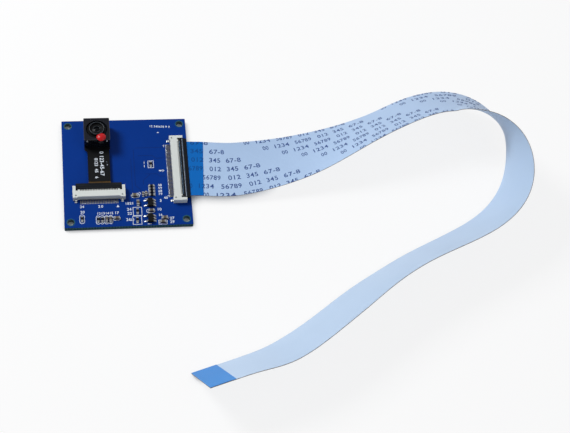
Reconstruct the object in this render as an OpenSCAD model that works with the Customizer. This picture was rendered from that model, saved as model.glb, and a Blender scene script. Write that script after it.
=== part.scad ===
// Camera board: a small lens module on a flex tail, a carrier board with two
// flip-lock flat-cable connectors, and a free flat cable.
// Millimetres, +Z up. Origin: centre of the board's underside.

/* [Board] */
// Side of the board along X
board_w = 40; // [36:1:50]
// Side of the board along Y
board_d = 40; // [36:1:50]
// Thickness of the board
board_t = 1.6; // [1:0.2:2]
// Radius of the board's corners
board_corner_r = 0.3; // [0.1:0.1:1]
// Diameter of each mounting hole
hole_d = 2.2; // [1.6:0.1:2.4]
// Distance of each mounting hole's centre from the board's edges
hole_inset = 2; // [1.8:0.1:3]
// Outer diameter of the plated ring round each hole
ring_d = 2.7; // [2.6:0.1:3]

/* [Connectors] */
// Distance from one contact to the next
pitch = 0.5; // [0.4:0.1:0.5]
// Contacts in the connector of the lens module
sensor_ways = 24; // [20:1:24]
// Contacts in the connector of the flat cable
cable_ways = 40; // [30:1:40]
// Height of a connector housing
conn_h = 2; // [2:0.1:2.4]
// Depth of a connector housing, from its rear to the tips of its arms
conn_depth = 4.3; // [4.3:0.1:4.8]
// Depth of the closed part of a housing
roof_depth = 2.85; // [2.85:0.05:3]
// Width of each arm beside the lock
arm_w = 0.95; // [0.8:0.05:1]
// Width of one contact
contact_w = 0.2; // [0.16:0.02:0.24]
// How far a lock reaches past the tips of the arms
lock_overhang = 1.2; // [0.8:0.1:1.4]
// From the board's centre line to the middle of the lens module's connector
sensor_conn_in = 8.95; // [8.5:0.05:9.5]
// From the board's front edge to the rear of the lens module's connector
sensor_conn_up = 9.8; // [9.5:0.1:10.5]
// From the board's right edge to the rear of the flat cable's connector
cable_conn_in = 5.75; // [5.6:0.05:6]

/* [Lens module] */
// Width of the lens holder along X
holder_w = 8.2; // [7.8:0.1:9]
// Depth of the lens holder along Y
holder_d = 8.5; // [8:0.1:9]
// Height of the lens holder
holder_h = 4.3; // [4:0.1:5]
// From the board's far edge to the middle of the lens
lens_in = 6.8; // [6:0.1:8]
// Radius of the threaded part of the barrel
barrel_r = 3.1; // [2.9:0.05:3.2]
// Radius of the barrel's nose
nose_r = 2.45; // [2.2:0.05:2.6]
// Radius of the hole that the front lens looks through
stop_r = 1.15; // [0.8:0.05:1.3]
// Width of the flex tail
tail_w = 6.95; // [6:0.05:8]
// Diameter of the drop of locking lacquer
drop_d = 3; // [2.4:0.1:3.2]

/* [Flat cable] */
// Thickness of the flat cable
ffc_t = 0.2; // [0.16:0.02:0.2]
// Length of the stiffener at each end of the flat cable
stiffener_l = 8; // [6:0.5:10]
// Thickness of each stiffener
stiffener_t = 0.1; // [0.06:0.02:0.1]

/* [Hidden] */

// Fineness of round things
round_fn = 64;

// Places on the board
sensor_conn_x = -sensor_conn_in;
sensor_conn_y = sensor_conn_up - board_d / 2;
cable_conn_x = board_w / 2 - cable_conn_in;
lens_x = sensor_conn_x + 0.05;
lens_y = board_d / 2 - lens_in;

// Board
plating_t = 0.06;     // wall of the plating in a hole
plating_pad_t = 0.05; // how deep the plated ring sits in the board
pad_t = 0.04;         // height of a solder pad

// Connectors, in their own frame: X along the contacts, Y to the mouth
conn_side = 2.2;        // housing past the last contact at each end
cable_level = 1;        // middle of the cable above the board
slot_play = 0.05;       // gap on each side of a cable in its slot
slot_low = 0.85;        // floor of the cable's slot
slot_high = 1.24;       // roof of the cable's slot
slot_back = 1.1;        // how far the slot stops from the rear
rear_step = 0.3;        // the rear wall is set back between the end blocks
comb_play = 0.03;       // gap on each side of a contact
comb_top = conn_h - 0.26; // top of the contacts' slots
tooth_d = 0.45;         // depth of the notches in the roof's edge
notch_w = 0.3;          // width of each notch
hinge_y = 3.25;         // hinge line of a lock
hinge_z = 1.6;
lock_nose_r = 0.35;     // round rear edge of a lock
lock_play = 0.05;       // gap between a lock and an arm
pin_r = 0.2;            // end pins of a lock
pin_l = 0.35;
pin_play = 0.05;
lock_ridge = 0.9;       // from the hinge line to the ridge on a lock
tab_w = 0.8;            // solder tabs
tab_t = 0.15;
tab_out = 0.55;
tab_h = 1.1;
contact_back = 0.7;     // rear of a contact's riser
contact_t = 0.25;       // depth of the riser, height of the upper beam
beam_z = 0.3;           // underside of the lower beam
beam_t = 0.22;
hook_z = 1.45;          // underside of the upper beam
hook_y = 2.3;           // how far the upper beam reaches
tail_t = 0.14;
tail_out = 1;           // contact tails past the rear
tail_pad = 0.35;        // solder pad past a tail

// Lens module, heights above the board
module_pad_t = 0.6;
plate_t = 0.3;
flex_t = 0.12;
coverlay_t = 0.05;
flex_low = cable_level - ffc_t / 2;             // underside of the flex
flex_z = board_t + flex_low;
holder_z = flex_z + flex_t;                     // foot of the lens holder
holder_top = holder_z + holder_h;
foot_front = 0.85;      // flex board in front of the holder
shoulder = 0.8;         // chamfer between the flex board and its tail
sensor_w = 6.2;         // image sensor and its glass
sensor_t = 0.5;
glass_w = 5.4;
glass_t = 0.15;
filter_w = 5.2;         // filter, in its pocket under the bore
filter_t = 0.3;
filter_z = 1;
barrel_z = 1.7;         // the step that the barrel stands on
lens_t = 0.75;          // rim of each lens
tail_x = lens_x + 0.3;
head_w = (sensor_ways + 1) * pitch;
head_front = sensor_conn_y + conn_depth + lock_overhang - 0.05;
coverlay_end = head_front + 0.8;
insertion_back = slot_back + 0.1;               // end of a plugged cable
conductor_w = 0.3;
conductor_t = 0.03;
bump_z = cable_level - ffc_t / 2 - conductor_t; // where a contact touches

// Flat cable
ffc_w = (cable_ways + 1) * pitch;
ffc_edge = 0.05;        // bevel along the cable's edges

route_conn_x = 14.25;   // the connector's place when the route was laid

// The cable's route, as control points of a cubic B-spline:
// X, Y, height of its lower edge, and its roll in degrees from lying flat
route = [
    [15.5, 0, 2.6, 0], [24, 0, 2.6, 0], [32.5, -1, 2.4, 0], [41.5, 0.5, 1.2, 5],
    [50.5, 2, 0.4, 12], [59.5, 4, 0.2, 19], [68.5, 6.5, 0.5, 29],
    [77.5, 9.5, 1.5, 37], [86, 12.5, 3, 40], [94.5, 16, 4.5, 38],
    [103, 18, 5.5, 37], [111, 17.5, 6, 36], [117.5, 12.5, 6, 45],
    [123, 5.5, 5, 67], [126, -2.5, 3, 90], [125.5, -11.5, 1.2, 108],
    [121.5, -19.5, 0.3, 121], [114.5, -26, 0.2, 126], [106.5, -30.5, 0.2, 127],
    [97.5, -34.5, 0.2, 126], [88.5, -38.5, 0.2, 125], [80.5, -43, 0.2, 124],
    [72.5, -48, 0.2, 126], [65, -53.5, 0.2, 128], [57, -59.5, 0.2, 128],
    [49, -65, 0.2, 130], [41, -69.5, 0.2, 131], [33, -71.6, 0.2, 127.5],
    [25, -74, 0.2, 127.5], [17.5, -76.25, 0.2, 127.5],
];

// ---- shared helpers ----

module round_rect(w, d, r, h) {
    linear_extrude(h)
        offset(r = r, $fn = 32)
            square([w - 2 * r, d - 2 * r], center = true);
}

module slab(x0, x1, y0, y1, z0, z1) {
    translate([x0, y0, z0])
        cube([x1 - x0, y1 - y0, z1 - z0]);
}

module at_holes() {
    for (x = [-1, 1], y = [-1, 1])
        translate([x * (board_w / 2 - hole_inset),
            y * (board_d / 2 - hole_inset), 0])
            children();
}

module at_sensor_connector() {
    translate([sensor_conn_x, sensor_conn_y, board_t])
        children();
}

module at_cable_connector() {
    translate([cable_conn_x, 0, board_t])
        rotate([0, 0, -90])
            children();
}

// Profile in (Y, Z) drawn out along X, centred
module yz_profile(points, w) {
    translate([-w / 2, 0, 0])
        rotate([90, 0, 90])
            linear_extrude(w)
                polygon(points);
}

// Where each contact of a connector stands, along X
function contact_at(i, ways) = (i - (ways - 1) / 2) * pitch;

function conn_len(ways) = (ways - 1) * pitch + 2 * conn_side + pitch;

// ---- board ----

module circuit_board() {
    color([0.04, 0.16, 0.45])
        difference() {
            translate([0, 0, 0])
                linear_extrude(board_t)
                    offset(r = board_corner_r, $fn = 32)
                        square([board_w - 2 * board_corner_r,
                            board_d - 2 * board_corner_r], center = true);
            at_holes() {
                translate([0, 0, -1])
                    cylinder(d = hole_d + 2 * plating_t, h = board_t + 2, $fn = 48);
                translate([0, 0, -1])
                    cylinder(d = ring_d, h = 1 + plating_pad_t, $fn = 48);
                translate([0, 0, board_t - plating_pad_t])
                    cylinder(d = ring_d, h = 1, $fn = 48);
            }
        }
}

module hole_plating() {
    color([0.62, 0.68, 0.66])
        at_holes()
            rotate_extrude($fn = 48)
                polygon([
                    [hole_d / 2, 0], [ring_d / 2, 0],
                    [ring_d / 2, plating_pad_t],
                    [hole_d / 2 + plating_t, plating_pad_t],
                    [hole_d / 2 + plating_t, board_t - plating_pad_t],
                    [ring_d / 2, board_t - plating_pad_t],
                    [ring_d / 2, board_t], [hole_d / 2, board_t],
                ]);
}

// ---- flip-lock connectors ----

module connector_housing(ways) {
    len = conn_len(ways);
    slot_w = (ways + 1) * pitch + 2 * slot_play;
    lock_w = len - 2 * arm_w;
    difference() {
        slab(-len / 2, len / 2, 0, conn_depth, 0, conn_h);
        // room for the lock between the arms
        slab(-lock_w / 2, lock_w / 2, roof_depth, conn_depth + 1,
            slot_low, conn_h + 1);
        // dark steps at both ends of the roof's edge
        for (s = [-1, 1])
            translate([s * (lock_w / 2 - 0.35), 0, 0])
                slab(-0.35, 0.35, roof_depth - 0.35, conn_depth,
                    slot_low, conn_h + 1);
        // slot for the cable
        slab(-slot_w / 2, slot_w / 2, slot_back, conn_depth + 1,
            slot_low, slot_high);
        // the rear wall stands back between the end blocks
        slab(-lock_w / 2 + 0.6, lock_w / 2 - 0.6, -1, rear_step,
            -1, conn_h + 1);
        // one channel for each contact
        for (i = [0 : ways - 1])
            translate([contact_at(i, ways), 0, 0]) {
                slab(-contact_w / 2 - comb_play, contact_w / 2 + comb_play,
                    -1, conn_depth - 0.5, -1, pad_t + tail_t + comb_play);
                slab(-contact_w / 2 - comb_play, contact_w / 2 + comb_play,
                    contact_back - slot_play, conn_depth - 0.5, 0.1, comb_top);
                slab(-notch_w / 2, notch_w / 2,
                    roof_depth - tooth_d, roof_depth + 1, slot_low, conn_h + 1);
            }
        // blind bores for the lock's pins
        for (s = [-1, 1])
            translate([s * (lock_w / 2 - 0.1), hinge_y, hinge_z])
                rotate([0, s * 90, 0])
                    cylinder(r = pin_r + pin_play, h = pin_l + 0.2, $fn = 24);
        // pockets for the solder tabs
        for (s = [-1, 1])
            translate([s * (len / 2 - arm_w), 0, 0])
                slab(-tab_w / 2 - 0.02, tab_w / 2 + 0.02, -1, tab_t + 0.3,
                    -1, tab_h + 0.02);
        // small windows above the pockets
        for (s = [-1, 1])
            translate([s * (len / 2 - arm_w), 0.75, 1.5])
                round_rect(0.55, 0.5, 0.12, 1);
    }
}

module flip_lock(ways) {
    len = conn_len(ways);
    w = len - 2 * arm_w - 2 * lock_play;
    front = conn_depth + lock_overhang;
    translate([0, hinge_y, hinge_z]) {
        yz_profile(concat(
            [for (a = [90 : 15 : 270])
                [lock_nose_r * cos(a), lock_nose_r * sin(a)]],
            [
                [front - hinge_y, -lock_nose_r],
                [front - hinge_y, -lock_nose_r + 0.14],
                [front - hinge_y - 0.1, -lock_nose_r + 0.24],
                [lock_ridge + 0.15, lock_nose_r - 0.02],
                [lock_ridge + 0.08, lock_nose_r + 0.05],
                [lock_ridge - 0.08, lock_nose_r + 0.05],
                [lock_ridge - 0.2, lock_nose_r],
            ]), w);
        for (s = [-1, 1])
            rotate([0, s * 90, 0])
                translate([0, 0, w / 2 - 0.1])
                    cylinder(r = pin_r, h = pin_l + 0.1, $fn = 24);
    }
}

// Stamped contacts: a tail, a riser and two beams round the slot
module connector_contacts(ways) {
    for (i = [0 : ways - 1])
        translate([contact_at(i, ways), 0, 0])
            yz_profile([
                [-tail_out, pad_t], [contact_back + 0.2, pad_t],
                [contact_back + 0.4, beam_z], [roof_depth - 0.25, beam_z],
                [roof_depth + 0.25, bump_z], [roof_depth - 0.1, bump_z],
                [roof_depth - 0.4, beam_z + beam_t],
                [contact_back + contact_t, beam_z + beam_t],
                [contact_back + contact_t, hook_z], [hook_y, hook_z],
                [hook_y, hook_z + contact_t],
                [contact_back, hook_z + contact_t],
                [contact_back, pad_t + tail_t], [-tail_out, pad_t + tail_t],
            ], contact_w);
}

module connector_tabs(ways) {
    len = conn_len(ways);
    for (s = [-1, 1])
        translate([s * (len / 2 - arm_w), 0, 0])
            yz_profile([
                [-tab_out, pad_t], [tab_t + 0.1, pad_t], [tab_t + 0.1, tab_h],
                [0.1, tab_h], [0.1, pad_t + tab_t], [-tab_out, pad_t + tab_t],
            ], tab_w);
}

module sensor_connector_housing() {
    color([0.88, 0.87, 0.83])
        at_sensor_connector()
            connector_housing(sensor_ways);
}

module sensor_flip_lock() {
    color([0.07, 0.07, 0.08])
        at_sensor_connector()
            flip_lock(sensor_ways);
}

module sensor_connector_contacts() {
    color([0.72, 0.7, 0.62])
        at_sensor_connector()
            connector_contacts(sensor_ways);
}

module sensor_connector_tabs() {
    color([0.7, 0.71, 0.72])
        at_sensor_connector()
            connector_tabs(sensor_ways);
}

module cable_connector_housing() {
    color([0.88, 0.87, 0.83])
        at_cable_connector()
            connector_housing(cable_ways);
}

module cable_flip_lock() {
    color([0.07, 0.07, 0.08])
        at_cable_connector()
            flip_lock(cable_ways);
}

module cable_connector_contacts() {
    color([0.72, 0.7, 0.62])
        at_cable_connector()
            connector_contacts(cable_ways);
}

module cable_connector_tabs() {
    color([0.7, 0.71, 0.72])
        at_cable_connector()
            connector_tabs(cable_ways);
}

// ---- lens module ----

module module_pad() {
    color([0.12, 0.12, 0.12])
        translate([lens_x, lens_y, board_t])
            round_rect(holder_w - 0.8, holder_d - 0.8, 0.2, module_pad_t);
}

module module_plate() {
    color([0.7, 0.71, 0.72])
        translate([lens_x, lens_y - foot_front / 2, board_t + module_pad_t])
            round_rect(holder_w - 0.1, holder_d + foot_front - 0.1, 0.3,
                plate_t);
}

// Outline of the flex board: foot, shoulders, tail and plug-in head
module flex_outline() {
    foot_back = lens_y + holder_d / 2;
    foot_end = lens_y - holder_d / 2 - foot_front;
    left = lens_x - holder_w / 2;
    right = lens_x + holder_w / 2;
    tail_l = tail_x - tail_w / 2;
    tail_r = tail_x + tail_w / 2;
    head_l = sensor_conn_x - head_w / 2;
    head_r = sensor_conn_x + head_w / 2;
    head_back = sensor_conn_y + insertion_back;
    polygon([
        [left, foot_back], [left, foot_end], [tail_l, foot_end - shoulder],
        [tail_l, head_front], [head_l + 0.4, head_front],
        [head_l, head_front - 0.4], [head_l, head_back],
        [head_r, head_back], [head_r, head_front - 0.4],
        [head_r - 0.4, head_front], [tail_r, head_front],
        [tail_r, foot_end], [right, foot_end], [right, foot_back],
    ]);
}

module camera_flex() {
    color([0.72, 0.45, 0.12])
        translate([0, 0, flex_z])
            linear_extrude(flex_t)
                flex_outline();
}

// Black film over the tail and the shoulders
module flex_coverlay() {
    color([0.05, 0.05, 0.05])
        translate([0, 0, flex_z + flex_t])
            linear_extrude(coverlay_t)
                intersection() {
                    flex_outline();
                    translate([lens_x - holder_w, coverlay_end])
                        square([2 * holder_w,
                            lens_y - holder_d / 2 - coverlay_end]);
                }
}

module flex_stiffener() {
    color([0.75, 0.5, 0.15])
        slab(sensor_conn_x - head_w / 2, sensor_conn_x + head_w / 2,
            sensor_conn_y + insertion_back, head_front - 0.4,
            flex_z + flex_t, board_t + cable_level + 0.2);
}

module flex_fingers() {
    color([0.85, 0.68, 0.3])
        for (i = [0 : sensor_ways - 1])
            translate([sensor_conn_x + contact_at(i, sensor_ways),
                sensor_conn_y, flex_z - conductor_t])
                slab(-conductor_w / 2, conductor_w / 2,
                    insertion_back, roof_depth + 0.75, 0, conductor_t);
}

module image_sensor() {
    color([0.2, 0.22, 0.3])
        translate([lens_x, lens_y, holder_z])
            union() {
                round_rect(sensor_w, sensor_w, 0.1, sensor_t);
                translate([0, 0, sensor_t])
                    round_rect(glass_w, glass_w, 0.1, glass_t);
            }
}

module ir_filter() {
    color([0.5, 0.75, 0.75, 0.5])
        translate([lens_x, lens_y, holder_z + filter_z])
            round_rect(filter_w, filter_w, 0.1, filter_t);
}

module lens_holder() {
    color([0.09, 0.09, 0.1])
        translate([lens_x, lens_y, holder_z])
            difference() {
                union() {
                    translate([0, 0, 0])
                        linear_extrude(holder_h - 0.12)
                            offset(r = 0.25, $fn = 32)
                                square([holder_w - 0.5, holder_d - 0.5],
                                    center = true);
                    translate([0, 0, holder_h - 0.12])
                        linear_extrude(0.12, scale = [(holder_w - 0.24)
                            / holder_w, (holder_d - 0.24) / holder_d])
                            offset(r = 0.25, $fn = 32)
                                square([holder_w - 0.5, holder_d - 0.5],
                                    center = true);
                }
                // room for the sensor, and a ledge under the filter
                translate([0, 0, -1])
                    round_rect(sensor_w + 0.4, sensor_w + 0.4, 0.2,
                        1 + filter_z);
                translate([0, 0, filter_z - 0.1])
                    round_rect(filter_w + 0.1, filter_w + 0.1, 0.12,
                        filter_t + 0.1);
                translate([0, 0, filter_z])
                    cylinder(r = barrel_r - 0.8, h = 2, $fn = round_fn);
                // bore for the barrel, with a chamfered mouth
                translate([0, 0, barrel_z])
                    cylinder(r = barrel_r + 0.03, h = holder_h, $fn = round_fn);
                translate([0, 0, holder_h - 0.25])
                    cylinder(r1 = barrel_r + 0.03, r2 = barrel_r + 0.33,
                        h = 0.27, $fn = round_fn);
                // notches in the front face
                for (s = [-1, 1])
                    translate([s * (holder_w / 2 - 1), -holder_d / 2, 0])
                        slab(-0.35, 0.35, -1, 0.3, holder_h - 1.5,
                            holder_h - 0.7);
            }
}

module lens_barrel() {
    low = barrel_z;
    shoulder_z = holder_h - 0.45;
    top = holder_h + 0.1;
    color([0.06, 0.06, 0.07])
        translate([lens_x, lens_y, holder_z])
            rotate_extrude($fn = round_fn)
                polygon(concat(
                    [[1.9, low + 0.6], [1.9, low], [barrel_r - 0.12, low]],
                    [for (i = [0 : 4]) each [
                        [barrel_r - 0.12, low + 0.1 + i * 0.4],
                        [barrel_r, low + 0.2 + i * 0.4],
                        [barrel_r, low + 0.3 + i * 0.4],
                        [barrel_r - 0.12, low + 0.4 + i * 0.4],
                    ]],
                    [
                        [barrel_r - 0.12, shoulder_z],
                        [nose_r, shoulder_z], [nose_r, top - 0.06],
                        [nose_r - 0.06, top], [nose_r - 0.16, top],
                        [nose_r - 0.22, top - 0.06],
                        [nose_r - 0.32, top - 0.3],
                        [stop_r + 0.25, top - 0.4],
                        [stop_r + 0.1, top - 0.34], [stop_r, top - 0.38],
                        [stop_r, top - 0.6],
                        [stop_r + 0.45, top - 0.6],
                        [stop_r + 0.45, low + 0.6],
                    ]));
}

// A lens: the front one bulges upwards, the rear one downwards
module bulged_lens(r, rim, bulge) {
    ball = (r * r + bulge * bulge) / (2 * bulge);
    rotate_extrude($fn = 48)
        polygon(concat(
            [[0, 0], [r, 0]],
            [for (i = [0 : 8])
                let (x = r * (1 - i / 8))
                [x, rim + sqrt(ball * ball - x * x) - (ball - bulge)]]));
}

module front_lens() {
    color([0.3, 0.35, 0.5, 0.5])
        translate([lens_x, lens_y, holder_z + holder_h - 0.5 - lens_t])
            union() {
                cylinder(r = stop_r + 0.45, h = lens_t, $fn = 48);
                translate([0, 0, lens_t])
                    bulged_lens(stop_r - 0.05, 0.05, 0.3);
            }
}

module rear_lens() {
    color([0.3, 0.4, 0.45, 0.5])
        translate([lens_x, lens_y, holder_z + barrel_z + 0.6])
            cylinder(r = stop_r + 0.45, h = lens_t, $fn = 48);
}

// Drop of lacquer that locks the barrel, low dome over barrel and holder
module lock_drop() {
    r = drop_d / 2;
    color([0.85, 0.1, 0.1])
        difference() {
            translate([lens_x + 1.3, lens_y - holder_d / 2 + r - 0.45, holder_top])
                bulged_lens(r, 0.12, 0.6);
            translate([lens_x, lens_y, holder_top - 1])
                cylinder(r = nose_r, h = 1.1, $fn = round_fn);
        }
}

// ---- small parts on the board ----

// Small two-ended parts: distance from the board's centre line or left edge,
// distance from its front edge, turn, length, width, height
middle_resistors = [
    [7.65, 14.4, 0, 1.5, 0.75, 0.5], [7.65, 13.3, 0, 1.5, 0.75, 0.5],
    [7.65, 12.2, 0, 1.5, 0.75, 0.5], [7.65, 11.05, 0, 1.5, 0.75, 0.5],
    [2.75, 5.2, 90, 1.6, 0.8, 0.5], [2.55, 2.05, 90, 1.6, 0.8, 0.5],
    [7.85, 22.6, 90, 1.6, 0.8, 0.5],
];
left_resistors = [
    [5.5, 3, 90, 1.6, 0.8, 0.5],
    [10.45, 2.55, 90, 1.6, 0.75, 0.5], [11.7, 2.55, 90, 1.6, 0.75, 0.5],
];
middle_capacitors = [
    [4.84, 11.4, 90, 1.2, 0.7, 0.7], [5.8, 11.6, 90, 1.2, 0.7, 0.7],
    [2.2, 11, 0, 1.6, 1, 0.8], [3.05, 8.2, 90, 1.6, 0.9, 0.8],
    [11.2, 2.5, 0, 1.6, 0.9, 0.8], [10.5, 1.1, 0, 1.6, 0.75, 0.8],
    [7.15, 5.25, 0, 1.6, 0.75, 0.8],
];
left_capacitors = [
    [13.05, 2.55, 90, 1.6, 0.75, 0.8], [14.25, 2.55, 90, 1.6, 0.75, 0.8],
    [16.3, 2.9, 0, 1.6, 0.75, 0.8],
];

function from_left(c) = concat([c[0] - board_w / 2, c[1] - board_d / 2],
    [for (i = [2 : len(c) - 1]) c[i]]);
function from_middle(c) = from_left(concat([board_w / 2 + c[0]],
    [for (i = [1 : len(c) - 1]) c[i]]));

resistors = concat([for (c = middle_resistors) from_middle(c)],
    [for (c = left_resistors) from_left(c)]);
capacitors = concat([for (c = middle_capacitors) from_middle(c)],
    [for (c = left_capacitors) from_left(c)]);
regulators = [for (c = [[6.95, 8.1], [6.7, 2.4]]) from_middle(c)];
regulator_d = 2.9;
cap_l = 0.3; // length of each metal end

module chip_bodies(chips) {
    for (c = chips)
        translate([c[0], c[1], board_t + pad_t])
            rotate([0, 0, c[2]])
                slab(-c[3] / 2 + cap_l, c[3] / 2 - cap_l,
                    -c[4] / 2 + 0.02, c[4] / 2 - 0.02, 0.02, c[5] - 0.02);
}

module regulator_bodies() {
    color([0.07, 0.07, 0.08])
        for (p = regulators)
            translate([p[0], p[1], board_t])
                rotate([90, 0, 0])
                    translate([0, 0, -regulator_d / 2])
                        linear_extrude(regulator_d)
                            polygon([
                                [-0.72, 0.12], [0.72, 0.12], [0.8, 0.6],
                                [0.68, 1.15], [-0.68, 1.15], [-0.8, 0.6],
                            ]);
}

// Leads: two on the left, three on the right
module regulator_leads() {
    color([0.75, 0.76, 0.77])
        for (p = regulators, l = [[-1, -0.95], [-1, 0.95], [1, -0.95],
            [1, 0], [1, 0.95]])
            translate([p[0], p[1] + l[1], board_t])
                rotate([0, 0, l[0] * 90 - 90])
                    rotate([90, 0, 0])
                        translate([0, 0, -0.2])
                            linear_extrude(0.4)
                                polygon([
                                    [0.8, 0.68], [0.8, 0.53], [1.02, 0.53],
                                    [1.02, pad_t], [1.45, pad_t],
                                    [1.45, pad_t + 0.15], [1.17, pad_t + 0.15],
                                    [1.17, 0.68],
                                ]);
}

module resistor_bodies() {
    color([0.06, 0.06, 0.07])
        chip_bodies(resistors);
}

module capacitor_bodies() {
    color([0.55, 0.45, 0.33])
        chip_bodies(capacitors);
}

module chip_terminals() {
    color([0.78, 0.79, 0.8])
        for (c = concat(resistors, capacitors), s = [-1, 1])
            translate([c[0], c[1], board_t + pad_t])
                rotate([0, 0, c[2]])
                    translate([s * (c[3] - cap_l) / 2, 0, 0])
                        slab(-cap_l / 2, cap_l / 2, -c[4] / 2, c[4] / 2,
                            0, c[5]);
}

module pad(x0, x1, y0, y1) {
    slab(x0, x1, y0, y1, 0, pad_t);
}

module connector_pads(ways) {
    for (i = [0 : ways - 1])
        translate([contact_at(i, ways), 0, 0])
            pad(-0.14, 0.14, -tail_out - tail_pad, -0.1);
    for (s = [-1, 1])
        translate([s * (conn_len(ways) / 2 - arm_w), 0, 0])
            pad(-tab_w / 2, tab_w / 2, -tab_out - 0.3, tab_t + 0.1);
}

module solder_pads() {
    color([0.75, 0.75, 0.72]) {
        at_sensor_connector()
            connector_pads(sensor_ways);
        at_cable_connector()
            connector_pads(cable_ways);
        for (c = concat(resistors, capacitors), s = [0, 180])
            translate([c[0], c[1], board_t])
                rotate([0, 0, c[2] + s])
                    pad(c[3] / 2 - cap_l - 0.1, c[3] / 2 + 0.3,
                        -c[4] / 2 + 0.02, c[4] / 2 - 0.02);
        for (p = regulators, y = [-0.95, 0, 0.95])
            translate([p[0], p[1] + y, board_t]) {
                pad(1, 1.75, -0.25, 0.25);
                if (y != 0)
                    pad(-2.15, -1, -0.25, 0.25);
            }
    }
}

// ---- flat cable ----

// Control point i, mirrored past both ends
function route_at(i) = i < 0 ? 2 * route[0] - route[1]
    : i > len(route) - 1 ? 2 * route[len(route) - 1] - route[len(route) - 2]
    : route[i];

// Cubic B-spline through the control points' neighbourhood
function spline_in(i, t) =
    ((1 - t) ^ 3 * route_at(i - 1)
    + (3 * t ^ 3 - 6 * t ^ 2 + 4) * route_at(i)
    + (-3 * t ^ 3 + 3 * t ^ 2 + 3 * t + 1) * route_at(i + 1)
    + t ^ 3 * route_at(i + 2)) / 6;

function spline(u) =
    let (i = max(0, min(floor(u), len(route) - 2)))
    spline_in(i, u - i);

function centre(u) =
    let (p = spline(u))
    [p[0] + cable_conn_x - route_conn_x, p[1], p[2] + ffc_w / 2 * sin(p[3])];

function unit(v) = v / norm(v);

// Travel, across and face directions of the cable at u
function cable_frame(u) =
    let (
        t = unit(centre(u + 0.02) - centre(u - 0.02)),
        up = unit([0, 0, 1] - t[2] * t),
        side = cross(up, t),
        roll = spline(u)[3],
        w = cos(roll) * side - sin(roll) * up
    )
    [t, w, cross(t, w)];

// A strip that follows the cable: outline as [across, off the middle plane]
module strip(stations, outline) {
    n = len(outline);
    m = len(stations);
    points = [
        for (u = stations)
            let (c = centre(u), f = cable_frame(u))
            for (q = outline)
                c + q[0] * f[1] + q[1] * f[2],
    ];
    faces = concat(
        [[for (j = [0 : n - 1]) j]],
        [for (i = [0 : m - 2], j = [0 : n - 1])
            let (
                k = (j + 1) % n,
                a = i * n + j,
                b = (i + 1) * n + j,
                c = (i + 1) * n + k,
                d = i * n + k
            )
            each outline[k][0] < outline[j][0]
                ? [[a, b, d], [b, c, d]]
                : [[a, b, c], [a, c, d]]],
        [[for (j = [n - 1 : -1 : 0]) (m - 1) * n + j]]);
    polyhedron(points = points, faces = faces, convexity = 8);
}

function box_outline(a0, a1, h0, h1) = [[a0, h0], [a1, h0], [a1, h1], [a0, h1]];

last = len(route) - 1;
plug_u = stiffener_l / norm(centre(1) - centre(0));
free_u = last - stiffener_l / norm(centre(last) - centre(last - 1));
plug_stations = [for (i = [0 : 4]) plug_u * i / 4];
free_stations = [for (i = [0 : 4]) free_u + (last - free_u) * i / 4];
middle_count = 56;
cable_stations = concat(plug_stations,
    [for (i = [1 : middle_count - 1])
        plug_u + (free_u - plug_u) * i / middle_count],
    free_stations);

module flat_cable() {
    a = ffc_w / 2;
    h = ffc_t / 2;
    color([0.72, 0.78, 0.86])
        strip(cable_stations, [
            [-a, -h + ffc_edge], [-a + ffc_edge, -h],
            [a - ffc_edge, -h], [a, -h + ffc_edge],
            [a, h - ffc_edge], [a - ffc_edge, h],
            [-a + ffc_edge, h], [-a, h - ffc_edge],
        ]);
}

module plugged_stiffener() {
    color([0.05, 0.4, 0.75])
        strip(plug_stations, box_outline(-ffc_w / 2 + ffc_edge,
            ffc_w / 2 - ffc_edge, ffc_t / 2, ffc_t / 2 + stiffener_t));
}

module free_stiffener() {
    color([0.05, 0.4, 0.75])
        strip(free_stations, box_outline(-ffc_w / 2 + ffc_edge,
            ffc_w / 2 - ffc_edge, -ffc_t / 2 - stiffener_t, -ffc_t / 2));
}

// Bare ends of the conductors, half as long as the stiffeners
module bare_conductors(stations, h0, h1) {
    for (i = [0 : cable_ways - 1])
        let (a = contact_at(i, cable_ways))
        strip(stations, box_outline(a - conductor_w / 2, a + conductor_w / 2,
            h0, h1));
}

module plugged_conductors() {
    color([0.8, 0.78, 0.72])
        bare_conductors([plug_stations[0], plug_stations[2]],
            -ffc_t / 2 - conductor_t, -ffc_t / 2);
}

module free_conductors() {
    color([0.8, 0.78, 0.72])
        bare_conductors([free_stations[2], free_stations[4]],
            ffc_t / 2, ffc_t / 2 + conductor_t);
}

circuit_board();
hole_plating();
solder_pads();
sensor_connector_housing();
sensor_flip_lock();
sensor_connector_contacts();
sensor_connector_tabs();
cable_connector_housing();
cable_flip_lock();
cable_connector_contacts();
cable_connector_tabs();
module_pad();
module_plate();
camera_flex();
flex_coverlay();
flex_stiffener();
flex_fingers();
image_sensor();
ir_filter();
lens_holder();
lens_barrel();
front_lens();
rear_lens();
lock_drop();
regulator_bodies();
regulator_leads();
resistor_bodies();
capacitor_bodies();
chip_terminals();
flat_cable();
plugged_stiffener();
free_stiffener();
plugged_conductors();
free_conductors();
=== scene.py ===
import math
import random

import bmesh
import bpy
from mathutils import Matrix, Vector


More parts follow.
